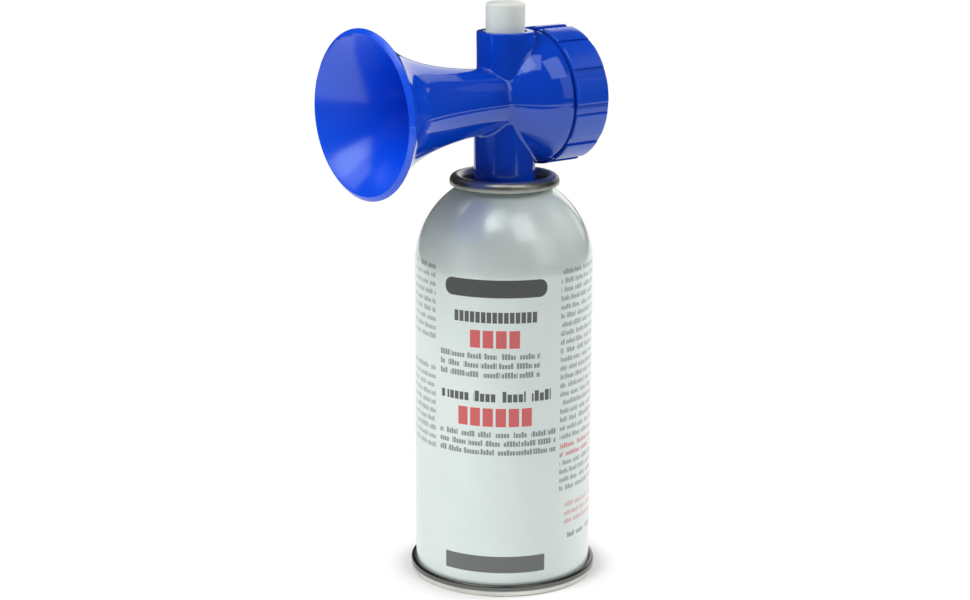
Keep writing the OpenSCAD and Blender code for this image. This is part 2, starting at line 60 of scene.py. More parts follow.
# Camera
# A long lens in front of the can and a little above the bell's lower rim, turned so
# that the bell points to the left and towards the camera.
camera_turn, camera_lift, camera_roll = (math.radians(a) for a in (-38.42, 14.11, 0.2))
camera_far = 630.81
aim_height, aim_aside = 82.79, -5.55
photo_wide, focal_pixels, sensor_wide = 970, 2129.6, 36

back = Vector((
    math.sin(camera_turn) * math.cos(camera_lift),
    -math.cos(camera_turn) * math.cos(camera_lift),
    math.sin(camera_lift),
))
level = Vector((math.cos(camera_turn), math.sin(camera_turn), 0))
right = level * math.cos(camera_roll) + back.cross(level) * math.sin(camera_roll)
up = back.cross(right)
camera_at = (Vector((0, 0, aim_height)) + right * aim_aside + back * camera_far) * mm
camera = bpy.data.objects.new("camera", bpy.data.cameras.new("camera"))
camera.data.sensor_width = sensor_wide
camera.data.lens = focal_pixels / photo_wide * sensor_wide
camera.matrix_world = Matrix((
    (right.x, up.x, back.x, camera_at.x),
    (right.y, up.y, back.y, camera_at.y),
    (right.z, up.z, back.z, camera_at.z),
    (0, 0, 0, 1),
))
bpy.context.scene.collection.objects.link(camera)
bpy.context.scene.camera = camera


# Can body
# One deep-drawn steel cup: straight wall, domed shoulder and a rolled curl round the mouth.
# Coated pale grey-white, printed and varnished; its foot is flanged for the bottom seam.
can_r, can_wall = 26.2, 0.3
shoulder_z, shoulder_reach, shoulder_rise = 94.8, 27.8, 26.7
mouth_r, curl_r = 12.7, 1.4
end_t, seam_out, seam_h, hook_gap = 0.35, 1.5, 3.3, 0.3
neck_turn = math.acos(1 - (can_r - mouth_r - can_wall) / shoulder_reach)
neck_z = shoulder_z + shoulder_rise * math.sin(neck_turn)
curl_c, curl_z = mouth_r + curl_r, neck_z + curl_r
layer_gap = (seam_out - 2 * end_t - can_wall) / 3
cover_hook_r = can_r + layer_gap
body_hook_r = cover_hook_r + end_t + layer_gap
hook_foot_z, hook_top_z = end_t + layer_gap, seam_h - end_t
joints = {joint["name"]: joint for joint in frame["joints"]}
horn_z = joints["cap_turn"]["pos_m"][2] / mm
weld = 0.001


def arc(centre, radius, start, end, steps):
    """Points (radius, height) on an arc about a centre, from one angle to another in degrees."""
    turns = [math.radians(start + (end - start) * i / steps) for i in range(steps + 1)]
    return [(centre[0] + radius * math.cos(t), centre[1] + radius * math.sin(t)) for t in turns]


def rows(start, end, length):
    """Points from start to end in even steps no longer than length, without the last point."""
    steps = max(1, math.ceil(math.dist(start, end) / length))
    return [
        tuple(a + (b - a) * i / steps for a, b in zip(start, end)) for i in range(steps)
    ]


def turned(name, outline, lying=False, around=192, begin=0.0):
    """Draws an outline of (radius, height) points and turns it right round its axis.
    The axis is the can's, or the horn's if it is lying; then height is the way along X,
    and the turn begins at that angle in degrees from the top."""
    bpy.ops.object.select_all(action="DESELECT")
    bpy.ops.mesh.primitive_plane_add(size=mm)
    piece = bpy.context.object
    piece.name = piece.data.name = name
    bpy.ops.object.mode_set(mode="EDIT")
    bpy.ops.mesh.select_mode(type="VERT")
    bpy.ops.mesh.merge(type="CENTER")
    place = Vector((0, 0, 0))
    begin = math.radians(begin)
    lie = Vector((0, -math.sin(begin), math.cos(begin)))
    closed = outline if outline[0][0] == 0 and outline[-1][0] == 0 else outline + outline[:1]
    for i, (radius, height) in enumerate(closed):
        spot = Vector((height, 0, horn_z)) + lie * radius if lying else Vector((radius, 0, height))
        spot = spot * mm
        if i == 0:
            bpy.ops.transform.translate(value=spot)
        else:
            bpy.ops.mesh.extrude_vertices_move(TRANSFORM_OT_translate={"value": spot - place})
        place = spot
    bpy.ops.mesh.select_all(action="SELECT")
    bpy.ops.mesh.remove_doubles(threshold=weld * mm)
    bpy.ops.mesh.spin(
        steps=around,
        angle=math.tau,
        center=(0, 0, horn_z * mm if lying else 0),
        axis=(1, 0, 0) if lying else (0, 0, 1),
        use_auto_merge=True,
    )
    bpy.ops.mesh.select_all(action="SELECT")
    bpy.ops.mesh.remove_doubles(threshold=weld * mm)
    bpy.ops.mesh.normals_make_consistent(inside=False)
    bpy.ops.object.mode_set(mode="OBJECT")
    return piece


def smooth(piece, angle=30):
    """Shades a piece smooth, with its edges above an angle in degrees kept sharp."""
    bpy.ops.object.select_all(action="DESELECT")
    piece.select_set(True)
    bpy.context.view_layer.objects.active = piece
    bpy.ops.object.shade_smooth_by_angle(angle=math.radians(angle))


def stand_for(piece, body, node, material):
    """Gives a finished piece its material and its body, and hides the CAD node it stands for."""
    piece.data.materials.clear()
    piece.data.materials.append(material)
    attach(piece, body)
    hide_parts(node)


def node(tree, kind, inputs=None, **settings):
    """Adds a shader node; its inputs are values or the sockets that feed them."""
    made = tree.nodes.new(kind)
    for key, value in settings.items():
        setattr(made, key, value)
    for key, value in (inputs or {}).items():
        if isinstance(value, bpy.types.NodeSocket):
            tree.links.new(value, made.inputs[key])
        else:
            made.inputs[key].default_value = value
    return made


def math_node(tree, operation, *values):
    """Adds a maths node and gives its result; values are numbers or the sockets that feed it."""
    return node(tree, "ShaderNodeMath", dict(enumerate(values)), operation=operation).outputs[0]


def finish(name, dark, light, rough, grain, bump=0.0, stretch=(1, 1, 1), **sockets):
    """A finish whose colour and gloss wander between two values with a noise. Grain is the
    noise's scale a metre and bump its height in millimetres. Further values go to the
    shader's own sockets. Gives the material, its tree, its shader and its colour."""
    material = bpy.data.materials.new(name)
    material.use_nodes = True
    tree = material.node_tree
    shader = tree.nodes["Principled BSDF"]
    for key, value in sockets.items():
        shader.inputs[key.replace("_", " ")].default_value = value
    coords = node(tree, "ShaderNodeTexCoord").outputs["Object"]
    laid = node(tree, "ShaderNodeMapping", {"Vector": coords, "Scale": stretch}).outputs[0]
    noise = node(
        tree, "ShaderNodeTexNoise", {"Vector": laid, "Scale": grain, "Detail": 3.0}
    ).outputs["Fac"]
    spread = node(
        tree, "ShaderNodeMapRange", {"Value": noise, "From Min": 0.3, "From Max": 0.7}
    ).outputs[0]
    colour = node(tree, "ShaderNodeMix", data_type="RGBA")
    colour.inputs[6].default_value = (*dark, 1)
    colour.inputs[7].default_value = (*light, 1)
    tree.links.new(spread, colour.inputs[0])
    tree.links.new(colour.outputs[2], shader.inputs["Base Color"])
    gloss = node(
        tree, "ShaderNodeMapRange", {"Value": noise, "To Min": rough[0], "To Max": rough[1]}
    ).outputs[0]
    tree.links.new(gloss, shader.inputs["Roughness"])
    if bump:
        fine = node(
            tree, "ShaderNodeTexNoise", {"Vector": laid, "Scale": grain * 3, "Detail": 2.0}
        ).outputs["Fac"]
        relief = node(
            tree, "ShaderNodeBump", {"Height": fine, "Strength": 1.0, "Distance": bump * mm}
        ).outputs[0]
        tree.links.new(relief, shader.inputs["Normal"])
    return material, tree, shader, colour.outputs[2]


def shoulder(turn, inset):
    """A point on the shoulder's oval, drawn in from its outer face."""
    lean = Vector((math.cos(turn) / shoulder_reach, math.sin(turn) / shoulder_rise)).normalized()
    return (
        can_r - shoulder_reach * (1 - math.cos(turn)) - inset * lean.x,
        shoulder_z + shoulder_rise * math.sin(turn) - inset * lean.y,
    )


shoulder_rows, curl_rows, curl_end = 48, 32, -60
can_body = turned("can_body_drawn", (
    rows((can_r, hook_foot_z + can_wall), (can_r, shoulder_z), 12)
    + [shoulder(neck_turn * i / shoulder_rows, 0) for i in range(shoulder_rows + 1)]
    + arc((curl_c, curl_z), curl_r - can_wall, 180, curl_end, curl_rows)
    + arc((curl_c, curl_z), curl_r, curl_end, 180, curl_rows)
    + [shoulder(neck_turn * i / shoulder_rows, can_wall) for i in range(shoulder_rows, -1, -1)]
    + [
        (can_r - can_wall, hook_foot_z),
        (body_hook_r + can_wall, hook_foot_z),
        (body_hook_r + can_wall, hook_top_z - hook_gap),
        (body_hook_r, hook_top_z - hook_gap),
        (body_hook_r, hook_foot_z + can_wall),
    ]
))
smooth(can_body)

# The coat, with its print: plain bars and rows of small blocks, laid out round one side.
paint, paint_tree, paint_shader, paint_colour = finish(
    "can_paint", dark=(0.61, 0.685, 0.66), light=(0.65, 0.725, 0.70), rough=(0.28, 0.34),
    grain=60, bump=0.004, Metallic=0.3, Coat_Weight=1.0, Coat_Roughness=0.08, Coat_IOR=1.55,
)
print_turn = math.radians(-44.5)
ink_black, ink_grey, ink_red = (0.012, 0.013, 0.014), (0.05, 0.055, 0.055), (0.55, 0.045, 0.05)
print_blur, print_foot, row_shift = 0.06, 0.2, 7.0
group_least, group_spread, block_share, low_share, low_drop = 0.72, 0.25, 0.8, 0.6, 0.25


def paint_math(operation, *values):
    """A maths node of the can's paint."""
    return math_node(paint_tree, operation, *values)


spot = node(
    paint_tree,
    "ShaderNodeSeparateXYZ",
    {"Vector": node(paint_tree, "ShaderNodeTexCoord").outputs["Object"]},
).outputs
bearing = paint_math("ARCTAN2", spot["X"], paint_math("MULTIPLY", spot["Y"], -1.0))
round_can = paint_math("MULTIPLY", paint_math("SUBTRACT", bearing, print_turn), can_r)
up_can = paint_math("DIVIDE", spot["Z"], mm)


def bar(left, right_edge, low, high, corner):
    """1 inside a bar with rounded corners, in millimetres round the can and up it."""
    sides = []
    for value, start, end in ((round_can, left, right_edge), (up_can, low, high)):
        off = paint_math("ABSOLUTE", paint_math("SUBTRACT", value, (start + end) / 2))
        inner = paint_math("SUBTRACT", off, (end - start) / 2 - corner)
        sides.append(paint_math("MAXIMUM", inner, 0.0))
    squares = [paint_math("MULTIPLY", side, side) for side in sides]
    far = paint_math("SQRT", paint_math("ADD", *squares))
    edge = node(
        paint_tree,
        "ShaderNodeMapRange",
        {"Value": far, "From Min": corner + print_blur, "From Max": corner - print_blur},
    )
    return edge.outputs[0]


def chance(**inputs):
    """An even random value from 0 to 1 for each value or place."""
    dimensions = "1D" if "W" in inputs else "3D"
    noise = node(paint_tree, "ShaderNodeTexWhiteNoise", inputs, noise_dimensions=dimensions)
    return noise.outputs["Value"]


def block_rows(left, right_edge, low, pitch, tall, count, group, stroke, seed):
    """1 in rows of blocks, the lowest row at low. Each block is a stroke wide and tall or a
    little lower, and they stand in uneven groups about group long. With a group of 0 they are
    one unbroken row of even blocks. All lengths are in millimetres."""
    lift = paint_math("DIVIDE", paint_math("SUBTRACT", up_can, low), pitch)
    row = paint_math("ADD", paint_math("FLOOR", lift), seed)
    shift = paint_math("MULTIPLY", chance(W=row), row_shift)
    groups = paint_math("ADD", paint_math("DIVIDE", round_can, group or 1), shift)
    strokes = paint_math("DIVIDE", paint_math("SUBTRACT", round_can, left), stroke)
    chances = []
    for place in (groups, strokes):
        key = node(
            paint_tree, "ShaderNodeCombineXYZ", {"X": paint_math("FLOOR", place), "Y": row}
        ).outputs[0]
        chances.append(chance(Vector=key))
    filled = paint_math("ADD", paint_math("MULTIPLY", chances[0], group_spread), group_least)
    in_group = paint_math("LESS_THAN", paint_math("FRACT", groups), filled) if group else 1.0
    in_block = paint_math("LESS_THAN", paint_math("FRACT", strokes), block_share)
    drop = low_drop if group else 0.0
    lower = paint_math("MULTIPLY", paint_math("LESS_THAN", chances[1], low_share), drop)
    top = paint_math("MULTIPLY", paint_math("SUBTRACT", 1.0, lower), tall / pitch)
    in_row = paint_math("LESS_THAN", paint_math("FRACT", lift), top)
    foot = low - print_foot
    mask = bar(left, right_edge, foot, foot + pitch * count, corner=0.1)
    for part in (in_group, in_block, in_row):
        mask = paint_math("MULTIPLY", mask, part)
    return mask


def print_on(colour, ink, strength, mask):
    """The colour with ink laid over it where the mask is 1."""
    mixed = node(paint_tree, "ShaderNodeMix", data_type="RGBA")
    paint_tree.links.new(paint_math("MULTIPLY", mask, strength), mixed.inputs[0])
    paint_tree.links.new(colour, mixed.inputs[6])
    mixed.inputs[7].default_value = (*ink, 1)
    return mixed.outputs[2]


head_row = {"count": 1, "pitch": 4, "tall": 3.2}
big_row = {"count": 1, "pitch": 6, "group": 0}
small_rows = {"count": 3, "tall": 1.7, "group": 5.2, "stroke": 0.85}
column = {"pitch": 2.6, "tall": 1.5, "group": 4.6, "stroke": 0.72}
right_column = {**column, "left": 20.4, "right_edge": 44}
left_column = {**column, "left": -44, "right_edge": -19.6}
red_rows = {**right_column, "group": 7.4, "stroke": 0.8}
low_row = {"left": 24, "right_edge": 44, "pitch": 2.6, "tall": 1.6, "group": 6.2, "stroke": 0.8}
for ink, strength, mask in (
    (ink_black, 0.97, bar(-15.5, 15.5, 89.8, 95.0, corner=2.4)),
    (ink_black, 0.92, block_rows(-12.3, 12.35, 82.4, **head_row, group=0, stroke=1.662, seed=3)),
    (ink_red, 0.95, block_rows(-7.3, 7.35, 75.0, **big_row, tall=5.2, stroke=3.84, seed=5)),
    (ink_grey, 0.75, block_rows(-17.4, 13.4, 66.2, **small_rows, pitch=2.75, seed=11)),
    (ink_black, 0.92, block_rows(-17, 17, 59.0, **head_row, group=8.6, stroke=1.6, seed=23)),
    (ink_red, 0.95, block_rows(-11, 11.05, 51.6, **big_row, tall=5.5, stroke=3.79, seed=7)),
    (ink_grey, 0.75, block_rows(-17.6, 18.8, 43.0, **small_rows, pitch=2.65, seed=31)),
    (ink_grey, 0.92, bar(-15.4, 15.4, 6.8, 11.9, corner=0.15)),
    (ink_grey, 0.6, block_rows(**right_column, low=46.0, count=20, seed=47)),
    (ink_red, 0.75, block_rows(**red_rows, low=40.6, count=2, seed=53)),
    (ink_grey, 0.6, block_rows(**right_column, low=30.2, count=4, seed=61)),
    (ink_red, 0.5, block_rows(**{**right_column, "left": 22.5}, low=19.6, count=3, seed=59)),
    (ink_grey, 0.75, block_rows(**low_row, low=15.0, count=1, seed=67)),
    (ink_grey, 0.6, block_rows(**left_column, low=75.5, count=9, seed=71)),
    (ink_grey, 0.6, block_rows(**left_column, low=42.6, count=10, seed=83)),
):
    paint_colour = print_on(paint_colour, ink, strength, mask)
paint_tree.links.new(paint_colour, paint_shader.inputs["Base Color"])
stand_for(can_body, "can", "can_body", paint)


# Can bottom
# A domed plate end, its edge folded round the can's flange and pressed into a double seam.
# Bare tinplate, a little rough, with painted shade on the seam's upper half; the can stands on the
# seam's ring.
seam_round, chuck_h, end_rise = 0.6, 4.2, 7
shade_band_from, shade_band_to = 1.3, 1.75
seam_r = can_r + seam_out
end_wall_r = can_r - can_wall - end_t
dome_r = (end_wall_r ** 2 + end_rise ** 2) / (2 * end_rise)
dome_turn = math.degrees(math.asin(end_wall_r / dome_r))
dome_c = (0, chuck_h + end_rise - dome_r)


def from_axis(points):
    """The points, with the one that lies on the axis put there exactly."""
    return [(0 if abs(radius) < weld else radius, height) for radius, height in points]


can_bottom = turned("can_bottom_end", (
    from_axis(arc(dome_c, dome_r, 90, 90 - dome_turn, 24))
    + arc((end_wall_r + seam_round, seam_round), seam_round, 180, 270, 10)
    + arc((seam_r - seam_round, seam_round), seam_round, -90, 0, 10)
    + arc((seam_r - seam_round, seam_h - seam_round), seam_round, 0, 90, 10)
    + [
        (cover_hook_r + end_t, seam_h),
        (cover_hook_r, hook_top_z),
        (cover_hook_r, hook_foot_z + can_wall + hook_gap),
        (cover_hook_r + end_t, hook_foot_z + can_wall + hook_gap),
        (cover_hook_r + end_t, hook_top_z),
        (seam_r - end_t, hook_top_z),
        (seam_r - end_t, end_t),
        (end_wall_r + end_t, end_t),
        (end_wall_r + end_t, chuck_h),
    ]
    + from_axis(arc(dome_c, dome_r + end_t, 90 - dome_turn, 90, 24))
))
smooth(can_bottom)
tinplate, tin_tree, tin_shader, tin_colour = finish(
    "tinplate", dark=(0.60, 0.60, 0.56), light=(0.80, 0.80, 0.76), rough=(0.14, 0.28), grain=90,
    bump=0.006, stretch=(1, 1, 0.35), Metallic=1.0,
)
# The seam's upper half is painted darker: painted shade where the seam meets the can's wall.
tin_height = node(
    tin_tree,
    "ShaderNodeSeparateXYZ",
    {"Vector": node(tin_tree, "ShaderNodeTexCoord").outputs["Object"]},
).outputs["Z"]
painted_shade_share = node(
    tin_tree,
    "ShaderNodeMapRange",
    {"Value": tin_height, "From Min": shade_band_from * mm, "From Max": shade_band_to * mm},
).outputs[0]
painted_shade_mix = node(tin_tree, "ShaderNodeMix", data_type="RGBA")
tin_tree.links.new(painted_shade_share, painted_shade_mix.inputs[0])
tin_tree.links.new(tin_colour, painted_shade_mix.inputs[6])
# The dark colour of the painted shade on the seam.
painted_shade_mix.inputs[7].default_value = (0.16, 0.165, 0.155, 1)
tin_tree.links.new(painted_shade_mix.outputs[2], tin_shader.inputs["Base Color"])
stand_for(can_bottom, "can", "can_bottom", tinplate)


# Valve cup
# A drawn plate cup, its ring rolled over the can's curl and its recess swelled out below it,
# which grips the can. Bare tinplate with a sleeve gasket under the ring.
cup_t, cup_gasket_t, cup_depth, skirt_drop = 0.35, 0.25, 7.3, 0.7
crimp_out, crimp_drop, crimp_rest, cup_round = 0.8, 0.2, 0.3, 1
boss_r = 5.55
gasket_over = curl_r + cup_gasket_t
cup_over = gasket_over + cup_t
cup_top_z = curl_z + cup_over
cup_wall_r = curl_c - cup_over
floor_z = cup_top_z - cup_depth
skirt_z = curl_z - skirt_drop
crimp_top_z = neck_z - crimp_drop
crimp_h = crimp_top_z - crimp_rest - cup_round - floor_z
cup_corner = (cup_wall_r - cup_round, floor_z + cup_round)


def crimp(radius, turns):
    """Points down the swelled wall of the recess."""
    return [
        (radius + crimp_out * (1 - math.cos(math.radians(t))) / 2, crimp_top_z - crimp_h * t / 360)
        for t in turns
    ]


valve_cup = turned("valve_cup_rolled", (
    [(curl_c + gasket_over, skirt_z)]
    + arc((curl_c + cup_over - cup_t / 2, skirt_z), cup_t / 2, -90, 0, 5)
    + arc((curl_c, curl_z), cup_over, 0, 180, 40)
    + crimp(cup_wall_r, range(0, 361, 20))
    + arc(cup_corner, cup_round, 0, -90, 12)
    + [(boss_r, floor_z), (boss_r, floor_z - cup_t)]
    + arc(cup_corner, cup_round + cup_t, -90, 0, 12)
    + crimp(cup_wall_r + cup_t, range(360, -1, -20))
    + arc((curl_c, curl_z), gasket_over, 180, 0, 40)
))
smooth(valve_cup)
cup_plate, *_ = finish(
    "cup_plate", dark=(0.40, 0.40, 0.36), light=(0.60, 0.60, 0.55), rough=(0.30, 0.42), grain=160,
    bump=0.006, stretch=(1, 1, 2), Metallic=1.0,
)
stand_for(valve_cup, "can", "valve_cup", cup_plate)


# Pieces inside the can and the cup
# Rubber seals, the threaded brass boss and the plastic valve. They are turned or moulded parts
# as the CAD has them, hidden when the horn is put together.
rubber, *_ = finish(
    "rubber", dark=(0.015, 0.015, 0.016), light=(0.035, 0.035, 0.036), rough=(0.55, 0.75),
    grain=400, bump=0.01,
)
brass, *_ = finish(
    "turned_brass", dark=(0.62, 0.42, 0.16), light=(0.78, 0.57, 0.26), rough=(0.16, 0.3),
    grain=300, bump=0.004, stretch=(1, 1, 6), Metallic=1.0,
)
natural_plastic, *_ = finish(
    "natural_plastic", dark=(0.68, 0.67, 0.60), light=(0.76, 0.75, 0.68), rough=(0.4, 0.5),
    grain=200, bump=0.006, Subsurface_Weight=0.15, Subsurface_Scale=0.001,
)


def dress(material, *names):
    """Gives CAD nodes that stay as they are their material."""
    for name in names:
        kept = frame["nodes"][name]
        kept.data.materials.clear()
        kept.data.materials.append(material)


dress(rubber, "seam_compound", "cup_gasket", "boss_gasket", "stem_gasket")
dress(brass, "valve_boss")
dress(natural_plastic, "valve_housing", "valve_stem")


# Valve spring
# A small coil of bright steel wire under the stem's flange. It closes the valve, and shortens
# when the button pushes the stem down; here it is wound as a coil that fills the CAD spring's box.
wire_d, coil_r, coils, wire_sides, coil_steps = 0.5, 2.3, 4.5, 10, 32
press_depth = joints["valve_press"]["range_m"][1] / mm
spring_low, spring_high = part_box("valve_spring")
wire_foot = spring_low[2] + wire_d / 2 * mm
wire_top = spring_high[2] - wire_d / 2 * mm
bpy.ops.object.select_all(action="DESELECT")
bpy.ops.mesh.primitive_circle_add(
    vertices=wire_sides,
    radius=wire_d / 2 * mm,
    location=(coil_r * mm, 0, wire_foot),
    rotation=(math.pi / 2, 0, 0),
)
valve_spring = bpy.context.object
valve_spring.name = "valve_spring_wound"
bpy.ops.object.transform_apply(location=True, rotation=True, scale=True)
winding = valve_spring.modifiers.new("winding", "SCREW")
winding.angle, winding.iterations = math.tau * coils, 1
winding.screw_offset = wire_top - wire_foot
winding.steps = winding.render_steps = round(coils * coil_steps)
bpy.ops.object.modifier_apply(modifier="winding")
bpy.ops.object.mode_set(mode="EDIT")
bpy.ops.mesh.select_all(action="SELECT")
bpy.ops.mesh.fill_holes(sides=0)
bpy.ops.mesh.normals_make_consistent(inside=False)
bpy.ops.object.mode_set(mode="OBJECT")
smooth(valve_spring, 50)
spring_steel, *_ = finish(
    "spring_steel", dark=(0.48, 0.48, 0.47), light=(0.62, 0.62, 0.61), rough=(0.15, 0.28),
    grain=500, Metallic=1.0,
)
stand_for(valve_spring, "can", "valve_spring", spring_steel)
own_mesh(valve_spring)


# Horn body
# One glossy blue injection moulding: bell, flare, waist, dome of the sound chamber, button barrel
# above and stem below, with a fine parting line at the height of its axis on both sides.
bell_x, bell_r, lip_l, lip_drop, lip_round = 49.8, 24.05, 1.25, 1.5, 0.25
waist_r, flare_even, flare_power = 9.1, 9.3, 5.8
dome_x, edge_x, edge_r, dome_bulge, root_round, edge_round = -4, 9.6, 19.25, 1.4, 4.0, 0.12
flange_x, rim_x, rim_r = 10.1, 16.5, 18.4
thread_pitch, thread_deep, thread_skin, thread_margin = 2, 0.55, 0.25, 0.02
thread_lift, thread_steep, thread_run_in = 1.6, 4.4, 0.5
post_r, barrel_r, bore_r, rim_bevel, barrel_h = 9, 8.3, 6, 0.35, 19.7
insert_r, foot_gap, boss_h, washer_t, ledge_t = 7.4, 0.8, 7, 0.8, 1.2
throat_r, tube_r, gas_r, well_x, well_r, well_slope = 2.4, 3.6, 5.2, 8, 15.6, 1.5
diaphragm_x, bore_even, bore_power = 17.1, 0.65, 5
mouth_x, mouth_r_in = -bell_x - lip_l, bell_r - lip_drop
foot_z, barrel_z = floor_z + foot_gap, horn_z + barrel_h
socket_top_z = floor_z + boss_h + washer_t
insert_z = socket_top_z + ledge_t
spare, fine_x, fine_drop = 1, -12, 19
lip_row, thread_row, joint_row, bore_row, foot_row = 0.6, 0.15, 0.45, 1.5, 4
flare_rows, waist_rows, root_rows, dome_rows, bell_rows = 66, 20, 12, 36, 84
rim_end, flange_bevel, lip_step, edge_step = 0.2, 0.1, 0.1, 0.3


def flare_r(x):
    """Radius of the flare at places along the horn."""
    s = np.clip(-np.asarray(x, float) / bell_x, 0, None)
    return waist_r + flare_even * s ** 2 + (bell_r - waist_r - flare_even) * s ** flare_power


def circle_centre(first, second, third):
    """The centre of the circle through three points."""
    a1, b1 = 2 * (second[0] - first[0]), 2 * (second[1] - first[1])
    a2, b2 = 2 * (third[0] - first[0]), 2 * (third[1] - first[1])
    c1 = second[0] ** 2 + second[1] ** 2 - first[0] ** 2 - first[1] ** 2
    c2 = third[0] ** 2 + third[1] ** 2 - first[0] ** 2 - first[1] ** 2
    return (c1 * b2 - c2 * b1) / (a1 * b2 - a2 * b1), (a1 * c2 - a2 * c1) / (a1 * b2 - a2 * b1)


# The dome is an arc through its root, its swelled middle and its sharp edge.
dome_root = (dome_x, float(flare_r(dome_x)))
dome_middle = ((dome_x + edge_x) / 2 - dome_bulge, (dome_root[1] + edge_r) / 2 + dome_bulge)
swell_x, swell_h = circle_centre(dome_root, dome_middle, (edge_x, edge_r))
swell_r = math.dist(dome_root, (swell_x, swell_h))
# Its root is rounded into the flare, whose radius there is found in a few steps.
root_x = dome_x
for step in range(3):
    root_h = float(flare_r(root_x)) + root_round
    root_x = swell_x - math.sqrt((swell_r + root_round) ** 2 - (root_h - swell_h) ** 2)
root_end_x = root_x + root_round * (swell_x - root_x) / (swell_r + root_round)


def outside_r(x):
    """Radius of the flare, the waist and the dome at places along the horn."""
    x = np.asarray(x, float)
    root = root_h - np.sqrt(np.clip(root_round ** 2 - (x - root_x) ** 2, 0, None))
    dome = swell_h + np.sqrt(np.clip(swell_r ** 2 - (x - swell_x) ** 2, 0, None))
    return np.where(x < root_x, flare_r(x), np.where(x < root_end_x, root, dome))


def bell_inside_r(x):
    """Radius of the bell's inside at places along the horn."""
    s = (np.asarray(x, float) + bore_r) / (mouth_x + bore_r)
    s = np.clip(s, 0, None)
    return throat_r + (mouth_r_in - throat_r) * (bore_even * s + (1 - bore_even) * s ** bore_power)


def rounded(before, corner, after, radius, steps=5):
    """A corner of an outline drawn as an arc of that radius."""
    corner, before, after = Vector(corner), Vector(before), Vector(after)
    to_before, to_after = (before - corner).normalized(), (after - corner).normalized()
    half = math.acos(max(-1, min(1, to_before.dot(to_after)))) / 2
    centre = corner + (to_before + to_after).normalized() * radius / math.sin(half)
    start = corner + to_before * radius / math.tan(half) - centre
    end = corner + to_after * radius / math.tan(half) - centre
    turn = math.atan2(start.x * end.y - start.y * end.x, start.dot(end))
    points = []
    for i in range(steps + 1):
        t = turn * i / steps
        spoke = Vector((
            start.x * math.cos(t) - start.y * math.sin(t),
            start.x * math.sin(t) + start.y * math.cos(t),
        ))
        points.append(tuple(centre + spoke))
    return points


def along_curve(radius_at, stops):
    """Points (radius, place) of a curve at places along the horn."""
    return [(float(radius_at(x)), float(x)) for x in stops]


lip_slope = lip_drop / lip_l
lip_front = (mouth_r_in - spare * lip_slope, mouth_x - spare)
flare_start_x = -bell_x + lip_round
flare_start = (float(outside_r(flare_start_x)), flare_start_x)
edge_before = (float(outside_r(edge_x - edge_step)), edge_x - edge_step)
horn_body = turned("horn_body_moulding", (
    [(0, mouth_x - spare)]
    + rows(lip_front, (bell_r, -bell_x), lip_row)[:-1]
    + rounded(lip_front, (bell_r, -bell_x), flare_start, lip_round)
    + along_curve(outside_r, np.linspace(flare_start_x + lip_step, fine_x, flare_rows))
    + along_curve(outside_r, np.linspace(fine_x, root_x, waist_rows)[1:])
    + along_curve(outside_r, np.linspace(root_x, root_end_x, root_rows)[1:])
    + along_curve(outside_r, np.linspace(root_end_x, edge_x - edge_round, dome_rows)[1:-1])
    + rounded(edge_before, (edge_r, edge_x), (edge_r, flange_x), edge_round, 4)
    + [(edge_r, flange_x - flange_bevel), (edge_r - flange_bevel, flange_x)]
    + rows((rim_r, flange_x), (rim_r, rim_x - rim_end), thread_row)
    + [(rim_r, rim_x - rim_end), (rim_r - rim_end, rim_x), (0, rim_x)]
), lying=True)

# The screw thread on the rim: each point of the rim is drawn in by its place in the turn.
for v in horn_body.data.vertices:
    x, y, z = v.co / mm
    r = math.hypot(y, z - horn_z)
    if flange_x + thread_margin < x < rim_x - thread_margin and r > rim_r - thread_skin:
        turn = math.atan2(y, z - horn_z) / math.tau
        place = ((x - flange_x) / thread_pitch + turn) % 1
        groove = min(1, max(0, thread_lift - abs(place - 0.5) * thread_steep))
        fade = min(1, (x - flange_x) / thread_run_in)
        keep = 1 - thread_deep * groove * fade / r
        v.co = Vector((x, y * keep, horn_z + (z - horn_z) * keep)) * mm

post_body = turned("post_and_barrel", (
    [(0, foot_z), (post_r - rim_bevel, foot_z)]
    + rows((post_r, foot_z + rim_bevel), (post_r, horn_z - fine_drop), foot_row)
    + rows((post_r, horn_z - fine_drop), (post_r, horn_z), joint_row)
    + [(post_r, horn_z)]
    + rows((barrel_r, horn_z), (barrel_r, barrel_z - rim_bevel), joint_row)
    + rounded((barrel_r, horn_z), (barrel_r, barrel_z), (0, barrel_z), rim_bevel, 4)
    + [(0, barrel_z)]
), around=160)
bore_cut = turned("bore_cut", (
    [(0, foot_z - spare), (insert_r, foot_z - spare), (insert_r, insert_z), (bore_r, insert_z)]
    + rows((bore_r, insert_z), (bore_r, barrel_z - rim_bevel), bore_row)[1:]
    + [
        (bore_r, barrel_z - rim_bevel),
        (bore_r + rim_bevel + spare, barrel_z + spare),
        (0, barrel_z + spare),
    ]
), around=144)
well_end_x = well_x + well_slope * (edge_x - dome_x) / (edge_r - waist_r)
chamber_cut = turned("chamber_cut", [
    (0, 0), (gas_r, 0), (gas_r, well_x), (well_r - well_slope, well_x),
    (well_r, well_end_x), (well_r, rim_x + spare), (0, rim_x + spare),
], lying=True, around=144)
throat_tube = turned("throat_tube", [
    (0, -bore_r - spare), (tube_r, -bore_r - spare), (tube_r, diaphragm_x), (0, diaphragm_x),
], lying=True, around=96)
bell_cut = turned("bell_cut", (
    [(0, mouth_x - 2 * spare)]
    + along_curve(bell_inside_r, np.linspace(mouth_x - 2 * spare, -bore_r, bell_rows))
    + [(throat_r, diaphragm_x + spare), (0, diaphragm_x + spare)]
), lying=True)


